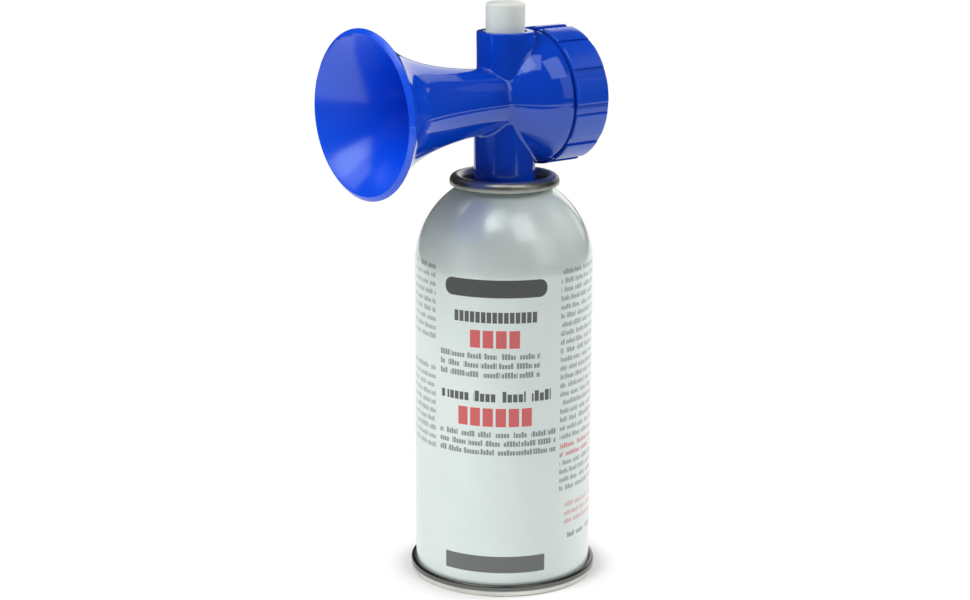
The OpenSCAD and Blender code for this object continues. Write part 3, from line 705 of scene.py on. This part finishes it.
def combine(piece, other, operation):
    """Joins another solid to a piece, or cuts it out, and removes the other."""
    bpy.ops.object.select_all(action="DESELECT")
    piece.select_set(True)
    bpy.context.view_layer.objects.active = piece
    bpy.ops.object.modifier_add(type="BOOLEAN")
    modifier = piece.modifiers[-1]
    modifier.operation, modifier.solver, modifier.object = operation, "MANIFOLD", other
    bpy.ops.object.modifier_apply(modifier=modifier.name)
    bpy.data.objects.remove(other)


combine(horn_body, post_body, "UNION")
combine(horn_body, bore_cut, "DIFFERENCE")
combine(horn_body, chamber_cut, "DIFFERENCE")
combine(horn_body, throat_tube, "UNION")
combine(horn_body, bell_cut, "DIFFERENCE")

# The barrel and the stem run into the horn with a small fillet, which fades out where the
# surfaces lie nearly flush, at the dome's sharp edge and at the barrel's rim.
fillet_r, fillet_least, fillet_fade, post_end, barrel_start = 0.9, 0.02, 1.5, -1.2, 3
joint_from, joint_near, joint_edge, nudge, tiny = -14, 0.03, 0.2, 0.01, 1e-9


def blended(points):
    """How far points stand off the rounded union of the horn's outside and its post, and
    the smaller and the larger of their two distances with the fillet's radius there."""
    x, y, z = points.T
    z = z - horn_z
    slope = (outside_r(x + nudge) - outside_r(x - nudge)) / (2 * nudge)
    lean = 1 / np.sqrt(1 + slope ** 2)
    from_horn, from_post = np.hypot(y, z) + tiny, np.hypot(x, y) + tiny
    off_horn = (from_horn - outside_r(x)) * lean
    off_post = from_post - np.interp(z, (post_end, barrel_start), (post_r, barrel_r))
    flush = np.clip(lean * (y * y / from_horn - slope * x) / from_post, 0, 1)
    fade = np.clip((edge_x - edge_step - x) / fillet_fade, 0, 1)
    fade = fade * np.clip((barrel_h - 1 - z) / fillet_fade, 0, 1)
    radius = fillet_least + fillet_r * (1 - flush) * fade
    near, far = np.minimum(off_horn, off_post), np.maximum(off_horn, off_post)
    hollow = np.hypot(np.maximum(radius - near, 0), np.maximum(radius - far, 0))
    return np.maximum(radius, near) - hollow, near, far, radius


def lean_of(points, step=0.002):
    """Directions in which points leave the blended surface, a unit long where it is even."""
    sides = [blended(points + d)[0] - blended(points - d)[0] for d in np.eye(3) * step]
    return np.stack(sides, 1) / (2 * step)


def points_of(mesh):
    """All points of a mesh in millimetres."""
    flat = np.empty(len(mesh.vertices) * 3)
    mesh.vertices.foreach_get("co", flat)
    return flat.reshape(-1, 3) / mm


def move_to(mesh, points):
    """Puts the points of a mesh at places in millimetres."""
    mesh.vertices.foreach_set("co", (points * mm).ravel())
    mesh.update()


spots = points_of(horn_body.data)
_, near, far, radius = blended(spots)
at_joint = (np.abs(near) < joint_near) & (far < radius)
at_joint &= (spots[:, 0] < edge_x - joint_edge) & (spots[:, 0] > joint_from)
moved = spots[at_joint]
for step in range(6):
    way = lean_of(moved)
    moved = moved - way * (blended(moved)[0] / np.maximum((way ** 2).sum(1), 0.05))[:, None]
spots[at_joint] = moved
move_to(horn_body.data, spots)

# The mouth's edge is eased, and the parting line of the mould is a fine ridge on both sides.
mouth_bevel, mouth_plane, mouth_ring = 0.2, 0.02, 0.05
ridge_wide, ridge_high, ridge_plane, ridge_skin = 0.26, 0.07, 0.01, 0.06
bpy.ops.object.select_all(action="DESELECT")
horn_body.select_set(True)
bpy.context.view_layer.objects.active = horn_body
bpy.ops.object.mode_set(mode="EDIT")
bpy.ops.mesh.select_mode(type="EDGE")
bpy.ops.mesh.select_all(action="DESELECT")
work = bmesh.from_edit_mesh(horn_body.data)
for edge in work.edges:
    edge.select_set(all(
        abs(v.co.x - mouth_x * mm) < mouth_plane * mm
        and abs(math.hypot(v.co.y, v.co.z - horn_z * mm) - mouth_r_in * mm) < mouth_ring * mm
        for v in edge.verts
    ))
bmesh.update_edit_mesh(horn_body.data)
bpy.ops.mesh.bevel(offset=mouth_bevel * mm, segments=3)
for lift in (-ridge_wide / 2, 0, ridge_wide / 2):
    bpy.ops.mesh.select_all(action="SELECT")
    bpy.ops.mesh.bisect(
        plane_co=(0, 0, (horn_z + lift) * mm), plane_no=(0, 0, 1), threshold=weld * mm
    )
bpy.ops.object.mode_set(mode="OBJECT")
spots = points_of(horn_body.data)
lip_r = bell_r + (spots[:, 0] + bell_x) * lip_slope
skin_r = np.where(spots[:, 0] < -bell_x, lip_r, outside_r(spots[:, 0]))
on_ridge = np.abs(spots[:, 2] - horn_z) < ridge_plane
on_ridge &= np.abs(np.abs(spots[:, 1]) - skin_r) < ridge_skin
on_ridge &= (spots[:, 0] < edge_x - joint_edge) & (spots[:, 0] > mouth_x + mouth_bevel)
spots[on_ridge, 1] += np.sign(spots[on_ridge, 1]) * ridge_high
move_to(horn_body.data, spots)
smooth(horn_body)

# The outside and the bell's inside are shaded by the true lean of their surfaces, except
# close to their edges and to the ridge.
skin_near, ridge_clear, lip_clear, edge_clear, barrel_clear = 0.02, 0.01, 0.5, 0.25, 0.6
foot_clear, throat_clear, mouth_clear = 1, 1, 0.3
mesh = horn_body.data
corner_point = np.empty(len(mesh.loops), int)
mesh.loops.foreach_get("vertex_index", corner_point)
starts, sizes = np.empty(len(mesh.polygons), int), np.empty(len(mesh.polygons), int)
mesh.polygons.foreach_get("loop_start", starts)
mesh.polygons.foreach_get("loop_total", sizes)
x, y, z = spots.T
out = np.abs(blended(spots)[0]) < skin_near
out &= (x > -bell_x + lip_clear) & (x < edge_x - edge_clear)
out &= (z < barrel_z - barrel_clear) & (z > foot_z + foot_clear)
out &= np.abs(z - horn_z) > ridge_wide / 2 + ridge_clear
inward = np.hypot(y, z - horn_z)
inside = np.abs(inward - bell_inside_r(x)) < skin_near
inside &= (x < -bore_r - throat_clear) & (x > mouth_x + mouth_clear)
leans = np.zeros_like(spots)
leans[out] = lean_of(spots[out])
slope = (bell_inside_r(x + nudge) - bell_inside_r(x - nudge)) / (2 * nudge)
leans[inside] = np.stack([slope, -y / inward, (horn_z - z) / inward], 1)[inside]
leans /= np.maximum(np.linalg.norm(leans, axis=1), tiny)[:, None]
kept = np.zeros(len(mesh.loops), bool)
for group in (out, inside):
    whole = np.logical_and.reduceat(group[corner_point], starts)
    kept |= np.repeat(whole, sizes)
mesh.normals_split_custom_set(np.where(kept[:, None], leans[corner_point], 0.0).tolist())
blue_gloss = (0.8, 0.98, 1.0, 1)
horn_plastic, horn_tree, horn_shader, horn_colour = finish(
    "horn_plastic", dark=(0.002, 0.058, 0.60), light=(0.003, 0.062, 0.64), rough=(0.05, 0.09),
    grain=40, bump=0.002, IOR=1.5, Specular_IOR_Level=1.0, Specular_Tint=blue_gloss,
)
# The blue is painted lighter inside the bell as painted light, and darker on the moulding's
# outside as painted shade; the bell's inside also has a softer gloss. It is told by its place and
# by facing the mouth.
outside_painted_shade, bell_painted_light, bell_softness = 0.77, 1.07, 0.14
horn_coords = node(horn_tree, "ShaderNodeTexCoord").outputs
bell_inside = 1.0
for source, full, none in (("Object", -22 * mm, -12 * mm), ("Normal", -0.25, -0.05)):
    value = node(horn_tree, "ShaderNodeSeparateXYZ", {"Vector": horn_coords[source]}).outputs["X"]
    share = node(horn_tree, "ShaderNodeMapRange", {
        "Value": value, "From Min": full, "From Max": none, "To Min": 1.0, "To Max": 0.0
    }).outputs[0]
    bell_inside = math_node(horn_tree, "MULTIPLY", share, bell_inside)
painted_light_level = node(horn_tree, "ShaderNodeMapRange", {
    "Value": bell_inside, "To Min": outside_painted_shade, "To Max": bell_painted_light
}).outputs[0]
# The horn's blue scaled by the painted light and shade.
horn_shade = node(
    horn_tree, "ShaderNodeVectorMath", {"Vector": horn_colour, "Scale": painted_light_level},
    operation="SCALE",
).outputs[0]
horn_tree.links.new(horn_shade, horn_shader.inputs["Base Color"])
horn_gloss = horn_shader.inputs["Roughness"].links[0].from_socket
softer = math_node(horn_tree, "MULTIPLY_ADD", bell_inside, bell_softness, horn_gloss)
horn_tree.links.new(softer, horn_shader.inputs["Roughness"])
stand_for(horn_body, "head", "horn_body", horn_plastic)


# Pieces inside the head
# A brass insert with the thread for the boss, a washer, the seals, the steel diaphragm with its
# gasket and the pressure ring that the cap drives against it. All stay as the CAD has them.
dress(rubber, "head_washer", "button_o_ring", "diaphragm_gasket")
dress(brass, "thread_insert")
dress(natural_plastic, "stem_pusher", "clamp_ring")
dress(spring_steel, "diaphragm")


# Push button
# A milky white moulding: a plain round button with a sealing collar and two legs that
# straddle the throat tube. It slides in the barrel and the valve's spring lifts it.
slide_r, button_r, button_round, button_out = 5.93, 5.65, 1, 8.3
crotch_gap, stop_gap, leg_gap, collar_h = 0.4, 0.3, 0.15, 6.5
o_ring_d, groove_drop, groove_h = 1, 1.8, 1.4
crotch_z = horn_z + tube_r + press_depth + crotch_gap
legs_z = horn_z - tube_r - stop_gap
collar_z, button_z = crotch_z + collar_h, barrel_z + button_out
groove_z = collar_z - groove_drop - groove_h
push_button = turned("push_button_moulding", (
    [
        (0, legs_z), (slide_r, legs_z), (slide_r, groove_z), (slide_r - o_ring_d, groove_z),
        (slide_r - o_ring_d, groove_z + groove_h), (slide_r, groove_z + groove_h),
        (slide_r, collar_z), (button_r, collar_z),
    ]
    + arc((button_r - button_round, button_z - button_round), button_round, 0, 90, 10)
    + [(0, button_z)]
), around=128)
bpy.ops.object.select_all(action="DESELECT")
bpy.ops.mesh.primitive_cube_add(size=1)
leg_cut = bpy.context.object
leg_cut.scale = Vector((4 * slide_r, 2 * (tube_r + leg_gap), crotch_z - legs_z + spare)) * mm
leg_cut.location = (0, 0, (crotch_z + legs_z - spare) / 2 * mm)
bpy.ops.object.transform_apply(location=True, scale=True)
combine(push_button, leg_cut, "DIFFERENCE")
smooth(push_button)
button_plastic, *_ = finish(
    "button_plastic", dark=(0.60, 0.64, 0.60), light=(0.65, 0.69, 0.65), rough=(0.32, 0.4),
    grain=120, bump=0.004, Subsurface_Weight=0.25, Subsurface_Scale=0.002,
)
stand_for(push_button, "button", "push_button", button_plastic)


# Screw cap
# A blue cap that screws over the chamber's rim and clamps the diaphragm. Twelve grooves run
# along its wall for the fingers; its back has a shallow dish with the vent.
cap_r, cap_round, front_round, groove_d, groove_count, groove_turn = 20.08, 0.8, 0.45, 0.55, 12, 6
cap_thread_r, clamp_in_r, dish_r, dish_d, vent_r = 18.48, 15.7, 14.48, 0.8, 1
cap_front_x, cap_seat_x, cap_back_x, hollow_d, land_bevel = 10.9, 19.35, 22.7, 1, 0.12
dish_edge, dish_bevel, cap_weld = 0.15, 0.1, 0.004
wall_near, land_above, land_near, edge_long = 0.01, 0.1, 0.05, 0.02
columns, groove_columns = 14, 4
column_turn = 360 / (columns * groove_count)
groove_floor = cap_r - groove_d
back_c = (cap_r - cap_round, cap_back_x - cap_round)
front_corner = (groove_floor, cap_front_x), (cap_r, cap_front_x), (cap_r, cap_back_x)
floor_turn = math.degrees(math.acos((groove_floor - back_c[0]) / cap_round))
screw_cap = turned("screw_cap_moulding", (
    [(cap_thread_r, cap_front_x), (groove_floor, cap_front_x)]
    + rounded(*front_corner, front_round, 4)
    + rows((cap_r, cap_front_x + 2 * front_round), (cap_r, back_c[1]), 3)
    + arc(back_c, cap_round, 0, floor_turn, 5)
    + arc(back_c, cap_round, floor_turn, 90, 4)[1:]
    + [
        (dish_r + dish_edge, cap_back_x), (dish_r - dish_bevel, cap_back_x - dish_bevel),
        (dish_r - dish_d, cap_back_x - dish_d), (vent_r, cap_back_x - dish_d),
        (vent_r, cap_seat_x + hollow_d), (clamp_in_r, cap_seat_x + hollow_d),
        (clamp_in_r, cap_seat_x), (cap_thread_r, cap_seat_x),
    ]
), lying=True, around=columns * groove_count, begin=groove_turn)


def polar(co):
    """Radius from the horn's axis in millimetres, and the turn from the top in degrees."""
    height = co.z - horn_z * mm
    return math.hypot(co.y, height) / mm, math.degrees(math.atan2(-co.y, height))


def from_groove(turn):
    """Angle from the middle of the nearest groove."""
    step = 360 / groove_count
    return abs((turn - groove_turn + step / 2) % step - step / 2)


half_groove = groove_columns / 2 * column_turn
bpy.ops.object.select_all(action="DESELECT")
screw_cap.select_set(True)
bpy.context.view_layer.objects.active = screw_cap
bpy.ops.object.mode_set(mode="EDIT")
bpy.ops.mesh.select_mode(type="FACE")
bpy.ops.mesh.select_all(action="DESELECT")
work = bmesh.from_edit_mesh(screw_cap.data)
for face in work.faces:
    radius, turn = polar(face.calc_center_median())
    face.select_set(radius > groove_floor - wall_near and from_groove(turn) < half_groove)
bmesh.update_edit_mesh(screw_cap.data)
bpy.ops.mesh.extrude_region_move()
for v in work.verts:
    if v.select:
        radius = polar(v.co)[0]
        v.co.y *= groove_floor / radius
        v.co.z = horn_z * mm + (v.co.z - horn_z * mm) * groove_floor / radius
bmesh.update_edit_mesh(screw_cap.data)
bpy.ops.mesh.select_all(action="SELECT")
bpy.ops.mesh.remove_doubles(threshold=cap_weld * mm)
bpy.ops.mesh.dissolve_degenerate(threshold=cap_weld * mm)
bpy.ops.mesh.normals_make_consistent(inside=False)
bpy.ops.mesh.select_mode(type="EDGE")
bpy.ops.mesh.select_all(action="DESELECT")
work = bmesh.from_edit_mesh(screw_cap.data)
for edge in work.edges:
    ends = [polar(v.co) for v in edge.verts]
    lengthwise = abs(edge.verts[0].co.x - edge.verts[1].co.x) > edge_long * mm
    edge.select_set(lengthwise and all(
        radius > groove_floor + land_above and abs(from_groove(turn) - half_groove) < land_near
        for radius, turn in ends
    ))
bmesh.update_edit_mesh(screw_cap.data)
bpy.ops.mesh.bevel(offset=land_bevel * mm, segments=2, clamp_overlap=True)
bpy.ops.object.mode_set(mode="OBJECT")
smooth(screw_cap)
cap_plastic, *_ = finish(
    "cap_plastic", dark=(0.003, 0.054, 0.48), light=(0.005, 0.058, 0.52), rough=(0.14, 0.22),
    grain=60, bump=0.003, IOR=1.5, Specular_IOR_Level=1.0, Specular_Tint=blue_gloss,
)
stand_for(screw_cap, "cap", "screw_cap", cap_plastic)


# Floor and background
# A wide white floor. Far from the can the camera sees it plain white, and near the can
# as it is lit, with the can's soft shadow. From here on, sizes are in metres.
floor_middle, floor_size, floor_gap = (0.237, 0.259), (0.95, 1.7), 0.02 * mm
shadow_r, white_r, floor_gloss, room_light, dark_light = 0.026, 0.036, 0.95, 0.05, 0.04
bpy.ops.object.select_all(action="DESELECT")
bpy.ops.mesh.primitive_plane_add(
    size=1, location=(*floor_middle, -floor_gap), rotation=(0, 0, camera_turn)
)
bpy.context.object.scale = (*floor_size, 1)
bpy.ops.object.transform_apply(location=True, rotation=True, scale=True)
ground = bpy.context.object
ground.name = "floor"
ground_material = bpy.data.materials.new("floor_white")
ground_material.use_nodes = True
ground_tree = ground_material.node_tree
ground_tree.nodes.clear()
ground_out = node(ground_tree, "ShaderNodeOutputMaterial")
matte = node(ground_tree, "ShaderNodeBsdfDiffuse", {"Color": (0.85, 0.85, 0.84, 1)}).outputs[0]
ground_spot = node(ground_tree, "ShaderNodeTexCoord").outputs["Object"]
from_can = node(
    ground_tree, "ShaderNodeVectorMath", {0: ground_spot}, operation="LENGTH"
).outputs["Value"]
whitened = node(
    ground_tree, "ShaderNodeMapRange",
    {"Value": from_can, "From Min": shadow_r, "From Max": white_r},
    interpolation_type="SMOOTHSTEP",
).outputs[0]
rays = node(ground_tree, "ShaderNodeLightPath").outputs
plain = math_node(ground_tree, "MAXIMUM", rays["Is Camera Ray"], rays["Is Glossy Ray"])
glow_level = node(
    ground_tree, "ShaderNodeMapRange",
    {"Value": rays["Is Glossy Ray"], "To Min": 1.0, "To Max": floor_gloss},
).outputs[0]
glow = node(
    ground_tree, "ShaderNodeEmission", {"Color": (1, 1, 1, 1), "Strength": glow_level}
).outputs[0]
seen = math_node(ground_tree, "MULTIPLY", plain, whitened)
ground_mix = node(ground_tree, "ShaderNodeMixShader", {0: seen, 1: matte, 2: glow}).outputs[0]
ground_tree.links.new(ground_mix, ground_out.inputs["Surface"])
ground.data.materials.append(ground_material)

world = bpy.data.worlds.new("studio")
bpy.context.scene.world = world
world.use_nodes = True
world_tree = world.node_tree
world_tree.nodes.clear()
world_out = node(world_tree, "ShaderNodeOutputWorld")
world_rays = node(world_tree, "ShaderNodeLightPath").outputs
white, room, dim = (
    node(world_tree, "ShaderNodeBackground", {"Color": (grey, grey, grey, 1)}).outputs[0]
    for grey in (1, room_light, dark_light)
)
unseen = node(
    world_tree, "ShaderNodeMixShader", {0: world_rays["Is Glossy Ray"], 1: room, 2: dim}
).outputs[0]
world_mix = node(
    world_tree, "ShaderNodeMixShader", {0: world_rays["Is Camera Ray"], 1: unseen, 2: white}
).outputs[0]
world_tree.links.new(world_mix, world_out.inputs["Surface"])


# Lamps
# Soft boxes that show in the gloss: two high on the left, one high in front, three weaker ones
# round the right and a broad one behind on the right. Five large fills light the horn and the
# can, and don't show in the gloss.
lamp_aim_z = 0.1


def soft_box(name, bearing, lift, far, wide, tall, radiance, glossy=True, tilt=0):
    """A soft box that looks at the horn from a bearing, which is 0 in front and grows to the
    right, and a lift above the floor. It is tilted in its own plane. All in degrees and metres."""
    lamp = bpy.data.lights.new(name, "AREA")
    lamp.shape, lamp.size, lamp.size_y = "RECTANGLE", wide, tall
    lamp.energy = radiance * math.pi * wide * tall
    holder = bpy.data.objects.new(name, lamp)
    bpy.context.scene.collection.objects.link(holder)
    b, e = math.radians(bearing), math.radians(lift)
    away = Vector((math.sin(b) * math.cos(e), -math.cos(b) * math.cos(e), math.sin(e)))
    holder.location = away * far + Vector((0, 0, lamp_aim_z))
    turned_in_plane = Quaternion((0, 0, 1), math.radians(tilt))
    holder.rotation_euler = (away.to_track_quat("Z", "Y") @ turned_in_plane).to_euler()
    holder.visible_camera = False
    holder.visible_glossy = glossy


soft_box("box_top_left", -110, 61, 1.25, 1.3, 0.5, radiance=1.05)
soft_box("box_left_high", -80, 60, 1.3, 0.95, 0.68, radiance=1.25, tilt=36)
soft_box("box_front_high", 0, 53, 1.3, 0.62, 0.8, radiance=1.2)
soft_box("box_front_right", 18, 20, 1.4, 0.8, 0.9, radiance=0.45)
soft_box("box_right_high", 62, 38, 1.3, 0.6, 0.35, radiance=0.15)
soft_box("box_right_low", 100, 10, 1.3, 0.3, 0.4, radiance=0.6)
soft_box("sweep_right", 127, 17, 1.3, 0.62, 0.75, radiance=1.1)
soft_box("fill_left_low", -95, 12, 1.4, 0.9, 0.9, radiance=3.7, glossy=False)
soft_box("fill_left_high", -100, 50, 1.4, 0.9, 0.9, radiance=3.8, glossy=False)
soft_box("fill_front_low", -40, 5, 1.4, 0.9, 0.9, radiance=0.65, glossy=False)
soft_box("fill_front_right", 20, 30, 1.4, 0.9, 0.9, radiance=0.9, glossy=False)
soft_box("fill_right", 75, 25, 1.4, 0.9, 0.9, radiance=6.5, glossy=False)

bpy.context.scene.view_settings.view_transform = "Standard"
